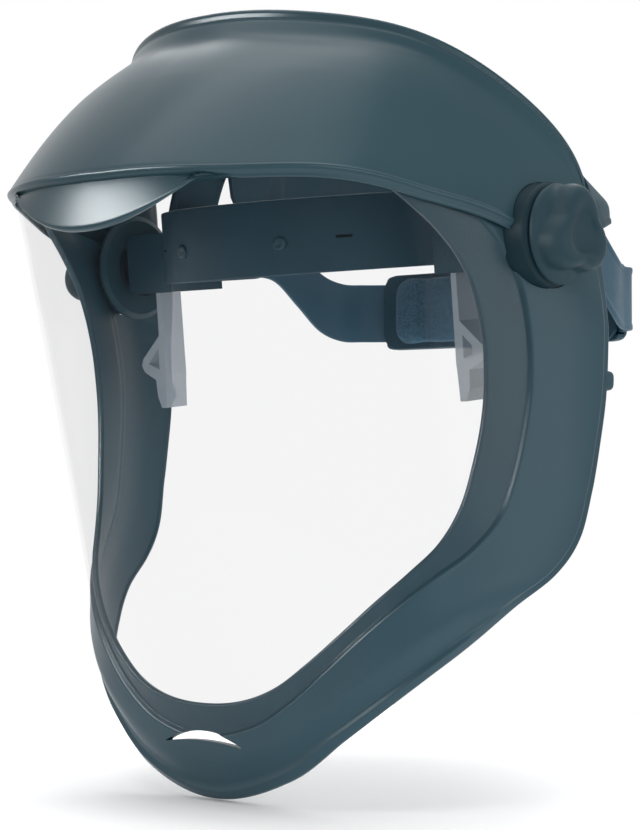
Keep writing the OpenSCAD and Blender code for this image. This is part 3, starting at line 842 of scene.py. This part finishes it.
# ------------------------------------------------------------------ rear unit
def build_cover():
    y0 = house_y + 2.6
    loops = []
    xs = np.concatenate([np.linspace(-house_hl, -house_hl + 6, 8), np.linspace(-house_hl + 6, house_hl - 6, 61)[1:-1], np.linspace(house_hl - 6, house_hl, 8)])
    for x in xs:
        e = house_hl - abs(x)
        f = 1.0 if e > 6 else 0.90 + 0.10*math.sqrt(max(0.0, 1 - (1 - e/6)**2))
        crown_y = 10.0 - 2.6*(abs(x)/house_hl)**3
        h = house_h/2*f
        P = [(0, -h), (crown_y, -h), (crown_y, h), (0, h), (0, 15), (min(7.4, crown_y - 2.2), 15), (min(7.4, crown_y - 2.2), -15), (0, -15)]
        R = [0.6, 4.0, 4.0, 0.6, 0.4, 1.2, 1.2, 0.4]
        F = fillet(P, R, 5)
        loops.append([(x, y0 + yy, nape_z + zz) for yy, zz in F])
    o = loft("ratchet_back", loops, BAND)
    c = rod(6.2, y0 - 5, y0 + 40, 'Y', (0, 0, nape_z), 64)
    cut(o, c)
    sharp(o, 40)
    return o


cover = build_cover()
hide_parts("ratchet_cover"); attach(cover, "rear_unit")


def build_plate():
    loops = []
    for x in np.concatenate([np.linspace(-house_hl, -house_hl + 8, 14), np.linspace(-house_hl + 8, house_hl - 8, 41)[1:-1], np.linspace(house_hl - 8, house_hl, 14)]):
        e = house_hl - abs(x)
        f = 1.0 if e > 8 else 0.60 + 0.40*math.sqrt(max(0.0, 1 - (1 - e/8)**2))
        h = house_h/2*f
        F = fillet([(0, -h), (2.5, -h), (2.5, h), (0, h)], [1.0, 0.5, 0.5, 1.0], 4)
        loops.append([(x, house_y + yy, nape_z + zz) for yy, zz in F])
    o = loft("ratchet_plate", loops, BAND)
    sharp(o, 40)
    return o


plate = build_plate()
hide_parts("ratchet_housing"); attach(plate, "rear_unit")


def build_size_knob():
    y0 = house_y + 14.1

    def rm(a, r, x):
        if r < 17:
            return r
        g = abs(math.sin(9*a))
        return r - 2.2*(1 - g)**1.6 if x < 11.0 else r - 1.2*(1 - g)**1.6
    prof = [(1.8, 5.9), (10, 5.9), (10, 0), (20.6, 0), (21.4, 0.4), (21.8, 1.2), (21.9, 3), (21.9, 8), (21.6, 9.8), (20.8, 11), (19.4, 11.8), (17.4, 12.0),
            (16.4, 11.7), (15.6, 11.0), (14.4, 10.6), (12.0, 10.7), (9.0, 11.1), (6.4, 11.4), (5.2, 11.3), (4.2, 10.9), (4.2, 8.5), (1.8, 8.5)]
    o = lathe("size_grip", prof, PIVOT, axis='Y', centre=(0, y0, nape_z), seg=216, rmod=rm)
    sharp(o, 40)
    return o


sk = build_size_knob()
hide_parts("ratchet_knob"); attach(sk, "size_knob")

# ------------------------------------------------------------------ padded pieces
def swell(o, voxel, pressure, cap, frames=20):
    """Remesh and inflate as cloth, each point moving at most cap metres."""
    md = o.modifiers.new("rm", 'REMESH')
    md.mode = 'VOXEL'
    md.voxel_size = voxel
    bpy.context.view_layer.update()
    apply_mods(o)
    rest = np.array([v.co for v in o.data.vertices], float)
    cl = o.modifiers.new("cloth", 'CLOTH')
    cl.settings.quality = 5
    cl.settings.mass = 0.05
    cl.settings.tension_stiffness = 12
    cl.settings.compression_stiffness = 12
    cl.settings.shear_stiffness = 6
    cl.settings.bending_stiffness = 0.2
    cl.settings.use_pressure = True
    cl.settings.uniform_pressure_force = pressure
    cl.settings.effector_weights.gravity = 0
    cl.collision_settings.use_collision = False
    cl.collision_settings.use_self_collision = False
    cl.point_cache.frame_start = 1
    cl.point_cache.frame_end = frames
    for f in range(1, frames + 1):
        scene.frame_set(f)
    dg = bpy.context.evaluated_depsgraph_get()
    ev = o.evaluated_get(dg).to_mesh()
    new = np.array([v.co for v in ev.vertices], float)
    o.evaluated_get(dg).to_mesh_clear()
    o.modifiers.clear()
    scene.frame_set(1)
    if new.shape == rest.shape and np.isfinite(new).all():
        d = new - rest
        ln = np.linalg.norm(d, axis=1, keepdims=True)
        d *= np.minimum(1.0, cap/np.maximum(ln, 1e-9))
        o.data.vertices.foreach_set("co", (rest + d).ravel())
        o.data.update()
    o.data.polygons.foreach_set("use_smooth", [True]*len(o.data.polygons))
    return o


def subdiv(o, n=1):
    md = o.modifiers.new("sub", 'SUBSURF')
    md.levels = n
    md.render_levels = n
    return o


def stitches(name, pts, outs, length, r=0.35):
    """Short thread stitches lying on a surface: pts (n, 3) and outward normals, in millimetres."""
    V, F = [], []
    P, O = np.asarray(pts, float), np.asarray(outs, float)
    T = np.gradient(P, axis=0)
    T /= np.maximum(np.linalg.norm(T, axis=1), 1e-9)[:, None]
    for p, o, t in zip(P, O, T):
        s = np.cross(t, o)
        rings = []
        for a, rr, lift in ((-1, 0.35, -0.25), (-0.72, 0.95, 0.12), (0, 1.1, 0.28), (0.72, 0.95, 0.12), (1, 0.35, -0.25)):
            c = p + t*a*length/2 + o*lift
            rings.append([c + (s*math.cos(x) + o*math.sin(x))*r*rr for x in np.linspace(0, 2*math.pi, 7)[:-1]])
        b0 = len(V)
        for rg in rings:
            V.extend(rg)
        for i in range(4):
            for j in range(6):
                k = (j + 1) % 6
                F.append((b0 + i*6 + j, b0 + (i + 1)*6 + j, b0 + (i + 1)*6 + k, b0 + i*6 + k))
        F.append(tuple(b0 + j for j in range(6)))
        F.append(tuple(b0 + 24 + j for j in range(5, -1, -1)))
    return mesh_obj(name, np.array(V)*MM, F, THREAD)


def build_sweat():
    o1 = -band_t - 0.3
    a = np.linspace(-71.5, 71.5, 181)
    loops = []
    h0 = band_h/2 - 1.0
    for x in a:
        e = (71.5 - abs(x))*1.75
        f = 1.0 if e > 9 else 0.55 + 0.45*math.sqrt(max(0.0, 1 - (1 - e/9)**2))
        seam = 0.0
        for sm in (-54, -36, -18, 0, 18, 36, 54):
            seam = max(seam, math.exp(-((x - sm)/1.5)**2))
        th = (sweat_t - 0.9)*f*(1 - 0.42*seam)
        hh = h0*f*(1 - 0.035*seam)
        lp = []
        for q in np.linspace(0, 2*math.pi, 33)[:-1]:      # crowned section, flat against the band
            c, s = math.cos(q), math.sin(q)
            zz = hh*math.copysign(abs(s)**0.55, s)
            dd = o1 if c >= 0 else o1 - th*abs(c)**0.55
            e2 = ell(np.array(x), dd)
            lp.append(TILT @ np.array([e2[0], e2[1], band_z + zz]))
        loops.append(lp)
    o = loft("sweat_cushion", loops, FOAM)
    swell(o, 0.0016, 3.0, 0.0006)
    subdiv(o, 1)
    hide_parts("sweatband"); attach(o, "headgear")
    pts, outs = [], []
    for zz, da in ((h0 - 3.2, 1.25), (-(h0 - 3.2), 1.25)):
        pp, oo = [], []
        for x in np.arange(-67, 67.1, da):
            seam = max(math.exp(-((x - sm)/1.5)**2) for sm in (-54, -36, -18, 0, 18, 36, 54))
            th = (sweat_t - 0.9)*(1 - 0.42*seam)*abs(math.cos(math.asin((abs(zz)/h0)**(1/0.55))))**0.55
            e1, e0 = ell(np.array(x), o1 - th - 0.35), ell(np.array(x), o1 - th + 1)
            pp.append(TILT @ np.array([e1[0], e1[1], band_z + zz]))
            d = e1 - e0
            oo.append(TILT @ np.array([d[0], d[1], 0])/np.linalg.norm(d))
        pts.append(pp); outs.append(oo)
    for nm, pp, oo in zip(("upper", "lower"), pts, outs):
        s = stitches("sweat_stitch_" + nm, pp, oo, 1.9, 0.28)
        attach(s, "headgear")
    return o


build_sweat()


def build_nape_pad():
    hw, hh = house_hl - 8.6, house_h/2 - 1.6
    y1 = house_y - 0.35
    loops = []
    for x in np.linspace(-hw, hw, 161):
        e = hw - abs(x)
        f = 1.0 if e > 10 else 0.5 + 0.5*math.sqrt(max(0.0, 1 - (1 - e/10)**2))
        seam = max(math.exp(-((abs(x) - sm)/1.6)**2) for sm in (14, 38))
        th = 5.0*f*(1 - 0.5*seam)
        lp = []
        for q in np.linspace(0, 2*math.pi, 37)[:-1]:
            c, s = math.cos(q), math.sin(q)
            zz = hh*f*(1 - 0.03*seam)*math.copysign(abs(s)**0.5, s)
            yy = y1 if c >= 0 else y1 - th*abs(c)**0.5
            lp.append((x, yy, nape_z + zz))
        loops.append(lp)
    # the cushion carries the lightened cloth, painted light standing in for the shade it sits in
    o = loft("nape_cushion", loops, PAD_PAINTED_LIGHT)
    swell(o, 0.0018, 3.0, 0.0007)
    subdiv(o, 1)
    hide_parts("nape_pad"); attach(o, "rear_unit")
    return o


build_nape_pad()

# ------------------------------------------------------------------ small fittings
def dome_head(name, centre, normal, r, h, shank, mat, body):
    """Round snap or rivet head with a soft edge and a moulded dimple, and its shank."""
    nq = Vector(normal).normalized().to_track_quat('Z', 'Y').to_matrix()
    prof = [(0.01, -shank), (r*0.5, -shank), (r*0.5, 0), (r*0.96, 0), (r, h*0.18), (r*0.97, h*0.5), (r*0.82, h*0.82), (r*0.6, h), (r*0.42, h*0.97), (r*0.25, h*0.8), (0.01, h*0.74)]
    loops = []
    for i in range(48):
        a = 2*math.pi*i/48
        loops.append([np.array(centre) + np.array(nq @ Vector((rr*math.cos(a), rr*math.sin(a), x))) for rr, x in prof])
    o = loft(name, loops, mat, closed_path=True)
    sharp(o, 50)
    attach(o, body)
    return o


for i, (a, z, o) in enumerate(((-17, band_z - 2.5, 0.1), (17, band_z - 2.5, 0.1), (-92, band_z, 2.1), (92, band_z, 2.1))):
    p = ring_path(np.array([float(a)]), o, z)[0]
    e = ell(np.array(float(a)), 0.0)
    nd = TILT @ np.array([e[0], e[1] - band_y, 0.0])
    r = dome_head("band_peg_%d" % i, p, nd, 3.0, 1.3, band_t + o, FRAME, "headgear")
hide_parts("band_rivets")
for i, x in enumerate((-14, 14)):
    ang = math.asin(x/92.7)
    zc = 9 + (crest_z - 4.5)*math.cos(ang)
    s = dome_head("strap_snap_%d" % i, (x, strap_y, zc + 0.3), (math.sin(ang)*0.9, 0, math.cos(ang)), 4.0, 1.6, 4.0, TRIM, "headgear")
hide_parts("strap_buttons")

# carried-over CAD nodes: finish and softened edges
for names, mat, w in ((("bracket_left", "bracket_right"), BAND, 0.0010), (("detent_left", "detent_right"), DETENT, 0.0006),
                      (("retainer_left", "retainer_right"), SHELL, 0.0003), (("washer_left", "washer_right"), TRIM, 0.0003),
                      (("stud_left", "stud_right", "ratchet_screws", "pawl_spring", "knob_screw"), STEEL, 0.0002),
                      (("knob_left_nut", "knob_right_nut"), BRASS, 0.0003), (("rack_left", "rack_right", "pinion"), GEAR, 0.0001)):
    for n in names:
        o = N[n]
        o.data.materials.clear()
        o.data.materials.append(mat)
        bevelled(o, w, 3, 30)

# ------------------------------------------------------------------ stage and light
def floor_mat():
    m, nt, b, tc = new_mat("floor_white_glow_painted_shadow")
    n = noise(nt, tc, 6.0, 3.0)
    col = ramp(nt, n.outputs["Fac"], [(0.3, (0.93, 0.93, 0.935)), (0.7, (0.95, 0.95, 0.955))])
    nt.links.new(col.outputs[0], b.inputs["Base Color"])
    rr = span(nt, n.outputs["Fac"], 0.7, 0.85)
    nt.links.new(rr.outputs[0], b.inputs["Roughness"])
    b.inputs["Specular IOR Level"].default_value = 0.1
    b.inputs["Emission Color"].default_value = (1.0, 1.0, 1.0, 1.0)
    flat = nt.nodes.new("ShaderNodeVectorMath")            # painted glow and painted shadow: the floor glows though it is no lamp, less under the object and more further out
    flat.operation = 'MULTIPLY'
    flat.inputs[1].default_value = (1.0, 1.0, 0.0)
    nt.links.new(tc.outputs["Object"], flat.inputs[0])
    far = nt.nodes.new("ShaderNodeVectorMath")
    far.operation = 'LENGTH'
    nt.links.new(flat.outputs[0], far.inputs[0])
    # emission strength holds a painted shadow: low under the object, rising outwards to a glow
    glow_painted_shadow = nt.nodes.new("ShaderNodeMapRange")
    glow_painted_shadow.interpolation_type = 'SMOOTHSTEP'
    glow_painted_shadow.inputs["From Min"].default_value = 0.04
    glow_painted_shadow.inputs["From Max"].default_value = 0.19
    glow_painted_shadow.inputs["To Min"].default_value = 0.06
    glow_painted_shadow.inputs["To Max"].default_value = 0.36
    nt.links.new(far.outputs["Value"], glow_painted_shadow.inputs["Value"])
    nt.links.new(glow_painted_shadow.outputs[0], b.inputs["Emission Strength"])
    return m


FLOOR_Z = CAD_BOX[0][2] - 0.0006
me = bpy.data.meshes.new("floor")
S = 0.30
ring = [(S*math.cos(2*math.pi*i/96), S*math.sin(2*math.pi*i/96), FLOOR_Z) for i in range(96)]
me.from_pydata(ring, [], [tuple(range(96))])
floor = bpy.data.objects.new("floor", me)
me.materials.append(floor_mat())
scene.collection.objects.link(floor)

world = bpy.data.worlds.new("studio")
scene.world = world
world.use_nodes = True
wt = world.node_tree
bg = wt.nodes["Background"]
bg.inputs["Color"].default_value = (1.0, 1.0, 1.0, 1.0)
wc = wt.nodes.new("ShaderNodeTexCoord")
wd = wt.nodes.new("ShaderNodeVectorMath")                # white cyclorama on one side, dim room on the other
wd.operation = 'DOT_PRODUCT'
wd.inputs[1].default_value = (0.643, -0.766, 0.0)
wt.links.new(wc.outputs["Generated"], wd.inputs[0])
wr = wt.nodes.new("ShaderNodeMapRange")
wr.interpolation_type = 'SMOOTHSTEP'
wr.inputs["From Min"].default_value = -0.90
wr.inputs["From Max"].default_value = 0.10
wr.inputs["To Min"].default_value = 0.95
wr.inputs["To Max"].default_value = 0.42
wt.links.new(wd.outputs["Value"], wr.inputs["Value"])
lp = wt.nodes.new("ShaderNodeLightPath")                 # the backdrop itself is white from every side
wm = wt.nodes.new("ShaderNodeMix")
wm.inputs["B"].default_value = 1.0
wt.links.new(lp.outputs["Is Camera Ray"], wm.inputs["Factor"])
wt.links.new(wr.outputs[0], wm.inputs["A"])
wt.links.new(wm.outputs["Result"], bg.inputs["Strength"])


def area(name, loc, aim, size, power, size_y=None):
    d = bpy.data.lights.new(name, 'AREA')
    d.energy = power
    d.shape = 'RECTANGLE'
    d.size = size
    d.size_y = size_y or size
    o = bpy.data.objects.new(name, d)
    scene.collection.objects.link(o)
    o.location = loc
    o.rotation_euler = (Vector(aim) - Vector(loc)).to_track_quat('-Z', 'Y').to_euler()
    o.visible_camera = False
    return o


area("top", (-0.05, -0.15, 1.45), (0.0, -0.05, 0.0), 1.5, 11.0, 1.5)
area("strip", (-0.165, -0.505, 0.135), (0.01, -0.14, 0.012), 0.40, 4.6, 0.11).visible_diffuse = False
area("side", (1.75, 0.45, 0.05), (0.1, 0.0, -0.08), 1.1, 6.0, 1.0)
area("fill", (1.25, -0.45, 0.15), (0.0, -0.1, -0.16), 0.5, 2.6, 0.5)
area("front", (0.50, -0.95, -0.12), (-0.05, 0.0, -0.04), 0.5, 2.0, 0.5).visible_glossy = False
area("rear", (-0.8, 1.05, 1.25), (0.0, 0.0, -0.2), 1.2, 11.0, 0.8)

scene.view_settings.view_transform = 'Standard'
scene.view_settings.look = 'None'
